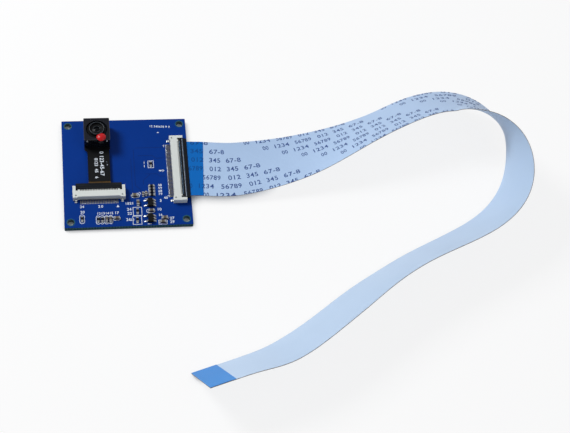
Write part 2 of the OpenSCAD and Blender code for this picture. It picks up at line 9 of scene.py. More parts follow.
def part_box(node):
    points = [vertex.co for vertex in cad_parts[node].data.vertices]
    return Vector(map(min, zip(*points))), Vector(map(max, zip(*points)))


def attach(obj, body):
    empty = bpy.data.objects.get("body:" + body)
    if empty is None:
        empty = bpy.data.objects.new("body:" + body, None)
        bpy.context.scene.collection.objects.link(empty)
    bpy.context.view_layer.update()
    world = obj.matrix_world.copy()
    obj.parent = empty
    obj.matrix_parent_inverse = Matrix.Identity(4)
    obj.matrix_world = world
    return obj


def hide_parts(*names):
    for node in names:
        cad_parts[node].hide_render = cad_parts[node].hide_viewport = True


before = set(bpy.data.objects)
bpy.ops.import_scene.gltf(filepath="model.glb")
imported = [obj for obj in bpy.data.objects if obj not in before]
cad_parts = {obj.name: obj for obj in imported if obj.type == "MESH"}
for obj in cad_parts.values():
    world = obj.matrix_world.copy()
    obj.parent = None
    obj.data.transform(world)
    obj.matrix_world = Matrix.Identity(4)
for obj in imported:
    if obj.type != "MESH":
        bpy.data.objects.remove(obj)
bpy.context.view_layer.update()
scene = bpy.context.scene
mm = 0.001
print("frame loaded:", len(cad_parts), "solids")

view = {
    "azimuth": -17.28,  # degrees, 0 looks along +Y
    "elevation": 58.53,
    "roll": 12.94,
    "distance": 432.1,  # mm from the point looked at
    "target": (49.5, -17.5, 0),  # mm
    "lens": 85.55,
    "sensor": 36,
    "clip": (0.01, 20),  # metres
}


def placeCamera():
    az, el, roll = (math.radians(view[k]) for k in ("azimuth", "elevation", "roll"))
    right = Vector((math.cos(az), math.sin(az), 0))
    back = Vector((math.sin(az) * math.cos(el), -math.cos(az) * math.cos(el), math.sin(el)))
    up = back.cross(right)
    side = right * math.cos(roll) + up * math.sin(roll)
    head = up * math.cos(roll) - right * math.sin(roll)
    data = bpy.data.cameras.new("camera")
    data.lens = view["lens"]
    data.sensor_width = view["sensor"]
    data.clip_start, data.clip_end = view["clip"]
    camera = bpy.data.objects.new("camera", data)
    turn = Matrix((side, head, back)).transposed().to_4x4()
    place = Vector(view["target"]) * mm + back * view["distance"] * mm
    camera.matrix_world = Matrix.Translation(place) @ turn
    scene.collection.objects.link(camera)
    scene.camera = camera


def hexColour(text):
    # sRGB hex to the linear values that shaders work in
    parts = [int(text[i:i + 2], 16) / 255 for i in (1, 3, 5)]
    return [p / 12.92 if p <= 0.04045 else ((p + 0.055) / 1.055) ** 2.4 for p in parts] + [1.0]


def addNode(tree, kind, values=None, links=None, **settings):
    # values: socket to constant, links: socket to an output of another node
    node = tree.nodes.new(kind)
    for name, value in settings.items():
        setattr(node, name, value)
    for socket, value in (values or {}).items():
        node.inputs[socket].default_value = value
    for socket, source in (links or {}).items():
        tree.links.new(source, node.inputs[socket])
    return node


def newMaterial(name):
    material = bpy.data.materials.new(name)
    material.use_nodes = True
    tree = material.node_tree
    tree.nodes.clear()
    return material, tree


def output(tree, shader):
    addNode(tree, "ShaderNodeOutputMaterial", links={"Surface": shader.outputs[0]})


lamps = {
    # name: place (mm), size (mm), power (W), colour
    "window": ((-310, 220, 415), 200, 2.8, "#FFFFFF"),
    "fill": ((380, -260, 420), 420, 0.5, "#F4F7FF"),
}
lampTarget = (50, -20, 0)  # mm


def addLamps():
    for name, (place, size, power, colour) in lamps.items():
        data = bpy.data.lights.new(name, "AREA")
        data.size = size * mm
        data.energy = power
        data.color = hexColour(colour)[:3]
        lamp = bpy.data.objects.new(name, data)
        lamp.location = Vector(place) * mm
        aim = Vector(lampTarget) * mm - lamp.location
        lamp.rotation_euler = aim.to_track_quat("-Z", "Y").to_euler()
        scene.collection.objects.link(lamp)


def seenRays(tree):
    # 1 for what the camera, a gloss or a glass shows, 0 for light falling on things
    rays = addNode(tree, "ShaderNodeLightPath")
    first = addNode(tree, "ShaderNodeMath", operation="MAXIMUM", links={
        0: rays.outputs["Is Camera Ray"], 1: rays.outputs["Is Transmission Ray"]})
    return addNode(tree, "ShaderNodeMath", operation="MAXIMUM", links={
        0: first.outputs[0], 1: rays.outputs["Is Glossy Ray"]})


studio = {
    "soft": ("#F1F5FF", 0.25),  # colour and strength of the light that falls on things
    "seen": ("#FFFFFF", 1.0),  # and of what is seen round them
}


def makeWorld():
    world = bpy.data.worlds.new("studio")
    scene.world = world
    world.use_nodes = True
    tree = world.node_tree
    tree.nodes.clear()
    seen = seenRays(tree)
    soft, white = (addNode(tree, "ShaderNodeBackground", {"Color": hexColour(colour), "Strength": strength})
                   for colour, strength in (studio["soft"], studio["seen"]))
    mix = addNode(tree, "ShaderNodeMixShader", links={
        0: seen.outputs[0], 1: soft.outputs[0], 2: white.outputs[0]})
    addNode(tree, "ShaderNodeOutputWorld", links={"Surface": mix.outputs[0]})


card = {
    "colour": "#F0F0F0",
    "half": 3000,  # mm, half its side
    "drop": 0.1,  # mm under the board, so that the two faces never lie in one plane
    "reach": 4,  # mm, how close a thing has to be to darken it
    "openFrom": 0.35,  # share of open sky where it starts to look white
    "openTo": 0.8,
    "white": 0.85,  # how much of its look is plain white, in the open
}


def makeFloor():
    # white card: seen white, with the soft shadow of what lies on it, and dark
    # where the board covers it closely, as under its edge and in its holes
    material, tree = newMaterial("whiteCard")
    paper = addNode(tree, "ShaderNodeBsdfDiffuse", {"Color": hexColour(card["colour"])})
    white = addNode(tree, "ShaderNodeEmission", {"Color": hexColour("#FFFFFF"), "Strength": 1.0})
    sky = addNode(tree, "ShaderNodeAmbientOcclusion", {"Distance": card["reach"] * mm}, samples=8)
    inOpen = addNode(tree, "ShaderNodeMapRange", {
        1: card["openFrom"], 2: card["openTo"], 3: 0.0, 4: card["white"]}, {0: sky.outputs["AO"]})
    share = addNode(tree, "ShaderNodeMath", operation="MULTIPLY", links={
        0: seenRays(tree).outputs[0], 1: inOpen.outputs[0]})
    output(tree, addNode(tree, "ShaderNodeMixShader", links={
        0: share.outputs[0], 1: paper.outputs[0], 2: white.outputs[0]}))
    mesh = bpy.data.meshes.new("floor")
    half = card["half"] * mm
    corners = ((-half, -half), (half, -half), (half, half), (-half, half))
    mesh.from_pydata([(x, y, -card["drop"] * mm) for x, y in corners], [], [(0, 1, 2, 3)])
    floor = bpy.data.objects.new("floor", mesh)
    floor.data.materials.append(material)
    scene.collection.objects.link(floor)


placeCamera()
addLamps()
makeWorld()
makeFloor()
scene.view_settings.view_transform = "Standard"
print("camera, light and floor ready")

cable = {
    "width": 20.5,
    "thickness": 0.2,
    "pitch": 0.5,  # of its conductors
    "edge": 0.05,  # bevel along both edges
    "stations": 300,  # sections along it
    "across": 14,  # faces over its width
    "film": 0.1,  # thickness of the blue film at each end
    "filmEdge": 0.02,
    "filmStations": 12,
    "pluggedFilm": 9.0,  # length of the film on the plugged end
    "freeFilm": 8.0,
    # control points of a cubic B-spline, mm: x, y, height of the lower edge, roll in degrees
    "route": [
        (15.5, 0, 2.6, 0), (24, 0, 2.6, 0), (32.5, -1, 2.4, 0), (41.5, 0.5, 1.2, 5),
        (50.5, 2, 0.4, 12), (59.5, 4, 0.2, 19), (68.5, 6.5, 0.5, 29), (77.5, 9.5, 1.5, 37),
        (86, 12.5, 3, 40), (94.5, 16, 4.5, 38), (103, 18, 5.5, 37), (111, 17.5, 6, 36),
        (117.5, 12.5, 6, 45), (123, 5.5, 5, 67), (126, -2.5, 3, 90), (125.5, -11.5, 1.2, 108),
        (121.5, -19.5, 0.3, 121), (114.5, -26, 0.2, 126), (106.5, -30.5, 0.2, 127),
        (97.5, -34.5, 0.2, 126), (88.5, -38.5, 0.2, 125), (80.5, -43, 0.2, 124),
        (72.5, -48, 0.2, 126), (65, -53.5, 0.2, 128), (57, -59.5, 0.2, 128),
        (49, -65, 0.2, 130), (41, -69.5, 0.2, 131), (33, -71.6, 0.2, 127.5),
        (25, -74, 0.2, 127.5), (17.5, -76.25, 0.2, 127.5),
    ],
}
uvUnit = 10  # mm of the strip in one unit of its UV map


class Ribbon:
    # a flat strip along a spline, with a frame of travel, across and face directions
    def __init__(self, route, width, steps=2400):
        # steps: how finely its length is measured
        rows = [Vector(r[:3]).to_4d() for r in route]
        for row, r in zip(rows, route):
            row.w = r[3]
        self.rows = [rows[0] * 2 - rows[1]] + rows + [rows[-1] * 2 - rows[-2]]
        self.width = width
        self.last = len(route) - 1
        self.nudge = 0.02  # of a spline piece, to each side of where a direction is measured
        self.params = [self.last * i / steps for i in range(steps + 1)]
        self.lengths = [0.0]
        points = [self.centre(u) for u in self.params]
        for a, b in zip(points, points[1:]):
            self.lengths.append(self.lengths[-1] + (b - a).length)
        self.length = self.lengths[-1]

    def spline(self, u):
        i = max(0, min(int(math.floor(u)), self.last - 1))
        t = u - i
        a, b, c, d = self.rows[i:i + 4]
        return (a * (1 - t) ** 3 + b * (3 * t ** 3 - 6 * t ** 2 + 4)
                + c * (-3 * t ** 3 + 3 * t ** 2 + 3 * t + 1) + d * t ** 3) / 6

    def centre(self, u):
        p = self.spline(u)
        return Vector((p.x, p.y, p.z + self.width / 2 * math.sin(math.radians(p.w))))

    def paramAt(self, s):
        low, high = 0, len(self.lengths) - 1
        while high - low > 1:
            mid = (low + high) // 2
            if self.lengths[mid] <= s:
                low = mid
            else:
                high = mid
        t = (s - self.lengths[low]) / (self.lengths[high] - self.lengths[low])
        return self.params[low] + (self.params[high] - self.params[low]) * t

    def place(self, s, across=0.0, off=0.0):
        # s: distance from the plugged end; off: height above the middle plane; all mm
        u = self.paramAt(s)
        travel = (self.centre(u + self.nudge) - self.centre(u - self.nudge)).normalized()
        up = (Vector((0, 0, 1)) - travel * travel.z).normalized()
        side = up.cross(travel)
        roll = math.radians(self.spline(u).w)
        w = side * math.cos(roll) - up * math.sin(roll)
        return (self.centre(u) + w * across + travel.cross(w) * off) * mm


ribbon = Ribbon(cable["route"], cable["width"])
print("cable line: %.1f mm" % ribbon.length)


def newObject(name, mesh, materials, body="board", smooth=False):
    piece = bpy.data.objects.new(name, mesh)
    scene.collection.objects.link(piece)
    for material in materials:
        mesh.materials.append(material)
    if smooth:
        for face in mesh.polygons:
            face.use_smooth = True
    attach(piece, body)
    return piece


def meshOf(name, points, faces):
    # points in metres
    mesh = bpy.data.meshes.new(name)
    mesh.from_pydata(points, [], faces)
    mesh.validate()
    return mesh


def stripOutline(half, low, high, bevel, count):
    # section of a strip: (across, off) in order round it, mm
    bottom = [(-half + bevel + (2 * half - 2 * bevel) * i / count, low) for i in range(count + 1)]
    top = [(a, high) for a, h in reversed(bottom)]
    right = [(half, low + bevel), (half, high - bevel)]
    return [(-half, low + bevel)] + bottom + right + top + [(-half, high - bevel)]


def sweepRibbon(name, start, end, stations, outline):
    # the outline carried along the ribbon; the under side takes the second material
    # and the cut edges take the third
    n = len(outline)
    stops = [start + (end - start) * i / stations for i in range(stations + 1)]
    points = [ribbon.place(s, a, h) for s in stops for a, h in outline]
    faces = []
    for i in range(stations):
        for j in range(n):
            k = (j + 1) % n
            faces.append((i * n + j, (i + 1) * n + j, (i + 1) * n + k, i * n + k))
    faces.append(tuple(range(n)))
    faces.append(tuple(stations * n + j for j in reversed(range(n))))
    mesh = bpy.data.meshes.new(name)
    mesh.from_pydata(points, [], [tuple(reversed(f)) for f in faces])
    layer = mesh.uv_layers.new(name="strip")
    for loop in mesh.loops:
        v = loop.vertex_index
        layer.data[loop.index].uv = (stops[v // n] / uvUnit, outline[v % n][0] / uvUnit)
    # smooth along the strip, sharp at its bevelled edges
    mesh.set_sharp_from_angle(angle=math.radians(40))
    lowest, highest = min(h for a, h in outline), max(h for a, h in outline)
    slack = 0.001
    for face in mesh.polygons:
        face.use_smooth = True
        heights = [outline[v % n][1] for v in face.vertices]
        if max(heights) < lowest + slack:
            face.material_index = 1
        elif min(heights) < highest - slack:
            face.material_index = 2
    return mesh


def mixColours(tree, share, first, second):
    # first where share is 0, second where it is 1: linear values, or another node's output
    values, links = {}, {0: share}
    for socket, colour in ((6, first), (7, second)):
        target = links if isinstance(colour, bpy.types.NodeSocket) else values
        target[socket] = colour
    return addNode(tree, "ShaderNodeMix", values, links, data_type="RGBA").outputs[2]


def cloudNoise(tree, grain, detail):
    # soft patches of about this size in mm
    place = addNode(tree, "ShaderNodeTexCoord")
    return addNode(tree, "ShaderNodeTexNoise", {"Scale": 1 / (grain * mm), "Detail": detail},
                   {"Vector": place.outputs["Object"]}).outputs["Fac"]


def wallShare(tree):
    # 1 on upright faces, 0 on level ones
    geometry = addNode(tree, "ShaderNodeNewGeometry")
    normal = addNode(tree, "ShaderNodeSeparateXYZ", links={0: geometry.outputs["Normal"]})
    level = addNode(tree, "ShaderNodeMath", operation="ABSOLUTE", links={0: normal.outputs["Z"]})
    return addNode(tree, "ShaderNodeMath", {1: 0.5}, {0: level.outputs[0]}, operation="LESS_THAN").outputs[0]


def relief(tree, height, strength, depth):
    # a bump for a shader's normal, depth in mm
    return addNode(tree, "ShaderNodeBump", {"Strength": strength, "Distance": depth * mm},
                   {"Height": height}).outputs[0]


def surface(name, colour, roughness, metallic=0.0, spread=0.04, grain=1.0, bump=0.0,
            bumpGrain=None, coat=0.0, spec=0.5, ior=1.45):
    # one shader whose colour and roughness vary in soft patches, with a fine bump;
    # grain sizes in mm
    material, tree = newMaterial(name)
    patches = cloudNoise(tree, grain, 3.0)
    dark = [c * (1 - spread * 2) for c in hexColour(colour)[:3]] + [1]
    light = [min(1, c * (1 + spread)) for c in hexColour(colour)[:3]] + [1]
    rough = addNode(tree, "ShaderNodeMapRange", {3: roughness * 0.85, 4: min(1, roughness * 1.2)},
                    {0: patches})
    values = {"Metallic": metallic, "Coat Weight": coat, "Coat Roughness": 0.08, "Specular IOR Level": spec}
    if not metallic:
        # a metal keeps the default IOR
        values["IOR"] = ior
    shader = addNode(tree, "ShaderNodeBsdfPrincipled", values, {
        "Base Color": mixColours(tree, patches, dark, light), "Roughness": rough.outputs[0]})
    if bump:
        fine = cloudNoise(tree, bumpGrain or grain, 2.0)
        tree.links.new(relief(tree, fine, bump, 0.05), shader.inputs["Normal"])
    output(tree, shader)
    return material


def makeSolderMask():
    # blue solder mask on glass-epoxy: satin and a little cloudy, with raw fibrous
    # edges where the panel was cut
    material, tree = newMaterial("solderMaskBlue")
    isEdge = wallShare(tree)
    place = addNode(tree, "ShaderNodeTexCoord")
    weavePitch = 0.888  # mm; the bands repeat every 2 pi / 20 over the scale
    weave = addNode(tree, "ShaderNodeTexWave", {
        "Scale": 2 * math.pi / 20 / (weavePitch * mm), "Distortion": 1.5, "Detail": 1.0},
        {"Vector": place.outputs["Object"]}, bands_direction="X").outputs["Fac"]
    mask = mixColours(tree, cloudNoise(tree, 9.0, 4.0), hexColour("#032E7A"), hexColour("#06368A"))
    fibre = mixColours(tree, weave, hexColour("#1E3B45"), hexColour("#2F5258"))
    rough = addNode(tree, "ShaderNodeMapRange", {3: 0.28, 4: 0.7}, {0: isEdge})
    output(tree, addNode(tree, "ShaderNodeBsdfPrincipled", {"Specular IOR Level": 0.06, "IOR": 1.5}, {
        "Base Color": mixColours(tree, isEdge, mask, fibre), "Roughness": rough.outputs[0],
        "Normal": relief(tree, weave, 0.05, 0.03)}))
    return material


def makePlatedHole():
    # a land under the mask on both faces, and the tinned barrel of the hole between
    material, tree = newMaterial("platedHoleMasked")
    isWall = wallShare(tree)
    patches = cloudNoise(tree, 0.8, 3.0)
    mask = mixColours(tree, patches, hexColour("#062C55"), hexColour("#1F6A78"))
    wall = mixColours(tree, patches, hexColour("#31474F"), hexColour("#6C8588"))
    metal = addNode(tree, "ShaderNodeMath", {1: 0.6}, {0: isWall}, operation="MULTIPLY")
    output(tree, addNode(tree, "ShaderNodeBsdfPrincipled", {"Roughness": 0.32, "Specular IOR Level": 0.2}, {
        "Base Color": mixColours(tree, isWall, mask, wall), "Metallic": metal.outputs[0]}))
    return material


def makeCableFilm(name, low, high, lineShare, roughness, spec=0.4, lineColour="#7F97B8"):
    # polyester film laminated over flat copper: satin, with the conductors
    # showing as faint parallel lines
    material, tree = newMaterial(name)
    uv = addNode(tree, "ShaderNodeUVMap", uv_map="strip")
    parts = addNode(tree, "ShaderNodeSeparateXYZ", links={0: uv.outputs[0]})
    turns = addNode(tree, "ShaderNodeMath", {1: 2 * math.pi * uvUnit / cable["pitch"]},
                    {0: parts.outputs["Y"]}, operation="MULTIPLY")
    wave = addNode(tree, "ShaderNodeMath", links={0: turns.outputs[0]}, operation="COSINE")
    lines = addNode(tree, "ShaderNodeMapRange", {1: -1.0, 2: 1.0, 3: 0.0, 4: 1.0}, {0: wave.outputs[0]})
    share = addNode(tree, "ShaderNodeMath", {1: lineShare}, {0: lines.outputs[0]}, operation="MULTIPLY")
    base = mixColours(tree, cloudNoise(tree, 22.0, 2.0), hexColour(low), hexColour(high))
    output(tree, addNode(tree, "ShaderNodeBsdfPrincipled", {
        "Roughness": roughness, "Specular IOR Level": spec, "IOR": 1.57}, {
        "Base Color": mixColours(tree, share.outputs[0], base, hexColour(lineColour)),
        "Normal": relief(tree, lines.outputs[0], 0.25, 0.03)}))
    return material


finishes = {
    "solderMask": makeSolderMask(),
    # the same mask over a plated land: darker and greener than over laminate
    "maskedPlating": makePlatedHole(),
    # the same mask standing over an etched track: a shade deeper
    "maskedTrack": surface("solderMaskOverTrack", "#032A70", 0.32, spread=0.06, grain=2.0, spec=0.12),
    # hot-air levelled tin over copper: bright, slightly lumpy
    "tin": surface("tinPlated", "#9A9DA0", 0.28, metallic=1.0, spread=0.08, grain=0.8, bump=0.3,
                   bumpGrain=0.4),
    # reflowed solder: bright on top, greyer where it wets the pad
    "solder": surface("solderReflowed", "#B3B7B9", 0.3, metallic=1.0, spread=0.12, grain=0.35, bump=0.5,
                      bumpGrain=0.3),
    # phosphor bronze contacts, tin plated and a little warm, greyer at the sheared edges
    "contact": surface("tinnedBronze", "#76746E", 0.35, metallic=1.0, spread=0.25, grain=0.45),
    # liquid crystal polymer, moulded: chalky cream with faint flow clouds
    "housing": surface("mouldedPolymerCream", "#D6DAD5", 0.55, spread=0.035, grain=2.5, bump=0.15,
                       bumpGrain=0.12, spec=0.3),
    # glass-filled nylon, moulded: near black with a soft sheen and a cold cast
    "lock": surface("mouldedNylonBlack", "#080D14", 0.42, spread=0.2, grain=0.9, bump=0.25, bumpGrain=0.15,
                    spec=0.12),
    # closed-cell foam, cut: dull black
    "foam": surface("foamBlack", "#141415", 0.95, spread=0.15, grain=0.5, bump=0.8, bumpGrain=0.25, spec=0.1),
    # stainless plate, blanked: plain bright grey
    "plate": surface("stainlessBlanked", "#9EA0A2", 0.35, metallic=1.0, spread=0.03, grain=1.0),
    # bare polyimide film over etched copper: amber, browner between the tracks
    "amber": surface("polyimideAmber", "#574122", 0.4, spread=0.42, grain=0.7, spec=0.12),
    # black light-cured cover film: slightly glossy
    "cover": surface("coverFilmBlack", "#08090C", 0.42, spread=0.15, grain=1.5, bump=0.1, bumpGrain=0.3,
                     spec=0.1),
    # gold over nickel, plated: warm and bright
    "gold": surface("goldPlated", "#D8B25E", 0.3, metallic=1.0, spread=0.03, grain=1.0),
    # silicon die under glass: dark and mirror smooth
    "die": surface("siliconDie", "#2A3042", 0.15, spread=0.05, grain=0.5, coat=0.5),
    # glass with an anti-reflection coating: nearly black, with a small cold glint
    "glass": surface("coatedGlass", "#04060A", 0.06, spread=0.05, grain=2.0, spec=0.05, ior=1.52),
    # glass-filled polycarbonate, moulded with a fine spark-eroded texture: black, faintly clouded
    "holder": surface("mouldedPolycarbonateBlack", "#090C16", 0.5, spread=0.3, grain=2.4, bump=0.35,
                      bumpGrain=0.1, spec=0.13),
    # the same, smoother and blacker: its own black taken a shade deeper as painted shade, so that the lens
    # sits in a dark well
    "barrel": surface("mouldedBarrelBlack", "#07080A", 0.36, spread=0.12, grain=1.0, bump=0.15, bumpGrain=0.1,
                      spec=0.1),
    # the same polycarbonate on its polished sides: a cold gleam at a low angle
    "holderSide": surface("mouldedPolycarbonatePolished", "#0B0E16", 0.22, spread=0.15, grain=1.6, spec=0.5),
    # locking lacquer, dried: glossy red
    "lacquer": surface("lacquerRed", "#BA1318", 0.3, spread=0.1, grain=0.9, spec=0.25),
    # epoxy mould compound: matt black
    "epoxy": surface("epoxyMouldedBlack", "#08090B", 0.55, spread=0.15, grain=0.6, bump=0.3, bumpGrain=0.08,
                     spec=0.1),
    # fired ceramic with a dark glaze: small black gleams
    "glaze": surface("resistorGlazeBlack", "#0B0D11", 0.35, spread=0.1, grain=0.5, spec=0.15),
    # fired barium titanate: brown beige
    "ceramic": surface("firedCeramicBeige", "#585046", 0.5, spread=0.1, grain=0.5, spec=0.3),
    # the cable's printed side: pale blue, its conductors just seen
    "cable": makeCableFilm("polyesterFilmPrinted", "#A6BFDF", "#B6D0EF", 0.12, 0.42),
    # its plain side: a shade lighter and more even
    "cableBack": makeCableFilm("polyesterFilmPlain", "#B0C8E3", "#C0D6EE", 0.08, 0.42),
    # dyed film over the printed side: deep blue, darker than the same film at the free end, with painted
    # shade
    "blueFilm": makeCableFilm("polyesterFilmBlue", "#025FAE", "#056DC2", 0.05, 0.35, spec=0.12,
                              lineColour="#0A5796"),
    # the same dyed film at the free end: paler, with painted light
    "blueFilmFree": makeCableFilm("polyesterFilmBlueLitCopy", "#0B7CCB", "#1287D8", 0.05, 0.35, spec=0.12,
                                  lineColour="#0A5796"),
    # cut edge of the laminate: adhesive and film, dull and brownish
    "cableEdge": surface("laminateCutEdge", "#8E8A86", 0.6, spread=0.3, grain=1.2, spec=0.2),
    # screen ink, baked: chalk white, and greyer where it is thin
    "ink": surface("screenInkWhite", "#DDE5EE", 0.6, spread=0.06, grain=0.4, spec=0.3),
    "inkGrey": surface("screenInkGrey", "#A9B3C4", 0.6, spread=0.12, grain=0.4, spec=0.3),
    # the cable's ink: dull blue, and darker where the blue film lies over it
    "cableInk": surface("printInkBlue", "#3C568F", 0.5, spread=0.2, grain=0.5, spec=0.3),
    "cableInkUnder": surface("printInkUnderFilm", "#034C90", 0.4, spread=0.1, grain=0.5, spec=0.18),
    # the same nylon along the lock's ridge, painted grey: a painted highlight where the ridge catches the
    # light
    "ridge": surface("nylonRidgePaintedHighlight", "#3A4E66", 0.3, spread=0.2, grain=0.8, spec=0.4),
    # marks at the mouths of the lock's slots, where the contacts show: grey blue, with a painted glint and a
    # painted blue reflection
    "slots": surface("slotMouthsPaintedGlint", "#4B6E8C", 0.4, spread=0.35, grain=0.5, spec=0.3),
    # moulded edge, painted a lighter grey as a highlight where it catches the light
    "rim": surface("mouldedRimPaintedHighlight", "#454C53", 0.35, spread=0.3, grain=1.2, spec=0.3),
    # pale grey and a little waxy: painted highlights at the corners of the holder's front face
    "paleHighlight": surface("paintedHighlightPale", "#AEB4B8", 0.3, spread=0.1, grain=0.4, spec=0.4),
}

solidFinish = {
    "circuit_board": "solderMask", "hole_plating": "maskedPlating", "solder_pads": "tin",
    "sensor_connector_housing": "housing", "sensor_flip_lock": "lock",
    "sensor_connector_contacts": "contact", "sensor_connector_tabs": "tin",
    "cable_connector_housing": "housing", "cable_flip_lock": "lock",
    "cable_connector_contacts": "contact", "cable_connector_tabs": "tin",
    "module_pad": "foam", "module_plate": "plate", "camera_flex": "amber",
    "flex_coverlay": "cover", "flex_stiffener": "amber", "flex_fingers": "gold",
    "image_sensor": "die", "ir_filter": "glass", "lens_holder": "holder",
    "lens_barrel": "barrel", "front_lens": "glass", "rear_lens": "glass",
    "lock_drop": "lacquer", "regulator_bodies": "epoxy", "regulator_leads": "contact",
    "resistor_bodies": "glaze", "capacitor_bodies": "ceramic", "chip_terminals": "tin",
    "flat_cable": "cable", "plugged_stiffener": "blueFilm", "free_stiffener": "blueFilm",
    "plugged_conductors": "tin", "free_conductors": "tin",
}
for node, finish in solidFinish.items():
    solid = bpy.data.objects[node]
    for place in solid.material_slots:
        place.material = finishes[finish]
print("materials on", len(solidFinish), "solids")

cableHalf = cable["width"] / 2
cableTop = cable["thickness"] / 2  # height of its printed face over the middle plane
filmTop = cableTop + cable["film"]


def layCable():
    outline = stripOutline(cableHalf, -cableTop, cableTop, cable["edge"], cable["across"])
    mesh = sweepRibbon("flatCable", 0, ribbon.length, cable["stations"], outline)
    piece = newObject("flatCable", mesh, [finishes[k] for k in ("cable", "cableBack", "cableEdge")])
    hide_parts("flat_cable")
    return piece


def layFilm(name, node, start, end, low, high, finish):
    # a film as wide as the flat of the cable, from start to end along it
    outline = stripOutline(cableHalf - cable["edge"], low, high, cable["filmEdge"], cable["across"])
    mesh = sweepRibbon(name, start, end, cable["filmStations"], outline)
    piece = newObject(name, mesh, [finishes[finish]] * 3)
    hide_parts(node)
    return piece


flatCable = layCable()
pluggedFilm = layFilm("pluggedStiffener", "plugged_stiffener", 0, cable["pluggedFilm"],
                      cableTop, filmTop, "blueFilm")
freeFilm = layFilm("freeStiffener", "free_stiffener", ribbon.length - cable["freeFilm"], ribbon.length,
                   -filmTop, -cableTop, "blueFilmFree")
pathStep = 60
path = [ribbon.place(ribbon.length * i / pathStep) for i in range(pathStep + 1)]
print("flat cable laid: %.1f mm" % ribbon.length)

capShare = 0.7  # height of a figure as a share of the text's size


def glyphMesh(text, size, bold=0.0):
    # filled outlines of a line of figures: 2D points and faces, left edge at x = 0, mm
    curve = bpy.data.curves.new("figures", "FONT")
    curve.body = text
    curve.size = size
    curve.space_character = 1.08
    curve.offset = bold
    curve.resolution_u = 4
    holder = bpy.data.objects.new("figures", curve)
    scene.collection.objects.link(holder)
    bpy.context.view_layer.update()
    shape = holder.evaluated_get(bpy.context.evaluated_depsgraph_get()).to_mesh()
    points = [(v.co.x, v.co.y) for v in shape.vertices]
    faces = [tuple(p.vertices) for p in shape.polygons]
    bpy.data.objects.remove(holder)
    bpy.data.curves.remove(curve)
    return points, faces


class InkSheet:
    # collects flat printed shapes, then makes them one piece
    def __init__(self, place):
        self.place = place
        self.points = []
        self.faces = []

    def add(self, points, faces):
        # takes only the points that the faces use
        used = sorted({i for face in faces for i in face})
        index = {i: len(self.points) + k for k, i in enumerate(used)}
        self.points += [self.place(*points[i]) for i in used]
        self.faces += [tuple(index[i] for i in face) for face in faces]

    def piece(self, name, finish, slot):
        return newObject(name, meshOf(name, self.points, self.faces), [finishes[finish]])


printing = {
    # plain figures only: word, start from the group's start, width; mm
    "words": [("00", 0, 1.95), ("1234", 4.2, 5.0), ("56789", 11.3, 5.65), ("012", 19.2, 3.7),
              ("345", 24.8, 3.7), ("67-8", 30.5, 5.3)],
    "height": 1.65,  # of a figure
    "bold": 0.035,
    "rows": 7,
    "rowPitch": 3.3,
    "rowShift": 5.7,  # each row starts this much further along than the row above
    "start": -8.2,  # of a group in the middle row, from the plugged end
    "period": 50.0,
    "first": 3.0,  # nothing is printed nearer to the plugged end
    "clear": 1,  # between the last figure and the free end's film
    "lift": 0.015,
}


def cableWords():
    # each word as (start, width, points, faces), fitted to its width
    words = []
    for text, offset, width in printing["words"]:
        points, faces = glyphMesh(text, printing["height"] / capShare, printing["bold"])
        left, right = min(x for x, y in points), max(x for x, y in points)
        words.append((offset, width, [((x - left) * width / (right - left), y) for x, y in points], faces))
    return words


def printCable():
    p = printing
    top = InkSheet(lambda s, a: ribbon.place(s, a, cableTop + p["lift"]))
    under = InkSheet(lambda s, a: ribbon.place(s, a, filmTop + p["lift"]))
    words = cableWords()
    edge = cableHalf - cable["edge"]
    last = ribbon.length - cable["freeFilm"] - p["clear"]
    for row in range(p["rows"]):
        down = row - (p["rows"] - 1) / 2
        base = -down * p["rowPitch"] - p["height"] / 2
        for repeat in range(math.ceil(ribbon.length / p["period"])):
            for offset, width, points, faces in words:
                start = p["start"] + down * p["rowShift"] + repeat * p["period"] + offset
                if start < p["first"] or start + width > last:
                    continue
                flat = [(start + x, max(-edge, min(edge, base + y))) for x, y in points]
                # figures covered by the blue film show through it as a darker ghost
                covered = [f for f in faces if sum(flat[i][0] for i in f) / len(f) < cable["pluggedFilm"]]
                under.add(flat, covered)
                top.add(flat, [f for f in faces if f not in covered])
    top.piece("cablePrint", "cableInk", "flat_cable")
    under.piece("cablePrintUnderFilm", "cableInkUnder", "plugged_stiffener")


printCable()
print("cable printed")

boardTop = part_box("circuit_board")[1][2] / mm


def looseParts(node):
    # every separate solid of a node: its lowest and highest corner, mm
    work = bmesh.new()
    work.from_mesh(bpy.data.objects[node].data)
    seen, boxes = set(), []
    for start in work.verts:
        if start in seen:
            continue
        stack, part = [start], []
        seen.add(start)
        while stack:
            vert = stack.pop()
            part.append(vert.co / mm)
            for edge in vert.link_edges:
                other = edge.other_vert(vert)
                if other not in seen:
                    seen.add(other)
                    stack.append(other)
        boxes.append((Vector([min(c[k] for c in part) for k in range(3)]),
                      Vector([max(c[k] for c in part) for k in range(3)])))
    work.free()
    return sorted(boxes, key=lambda box: tuple(box[0]))


solder = {
    # which terminals, and how even their fillets are: 1 is all alike
    "pieces": {
        "chipSolder": {"nodes": ["chip_terminals", "regulator_leads", "sensor_connector_tabs",
                                 "cable_connector_tabs"], "finish": "solder", "evenness": 0.85},
        "contactSolder": {"nodes": ["sensor_connector_contacts", "cable_connector_contacts"],
                          "finish": "tin", "evenness": 0.45},
    },
    "leastRoom": 0.08,  # mm of bare pad that a fillet needs
    "reach": 0.9,  # share of the bare pad that a fillet covers
    "overlap": 0.03,  # mm that it reaches into the terminal
    "beside": 0.05,  # mm that it may be wider than the terminal on each side
    "narrowing": 0.25,  # share of its width lost at its foot
    "rise": 0.42,  # mm up the end of a terminal, at most
    "riseShare": 0.8,  # of the terminal's height, at most
    "steepness": 1.6,  # of its rise to its length, at most
    "hollow": 1.8,  # power of its concave slope
    "crown": 0.55,  # share of its height lost at its sides
    "lift": 0.003,  # mm over the pad
    "foot": 0.004,  # mm, its thickness where it ends
    "steps": 5,
    "seed": 7,
}


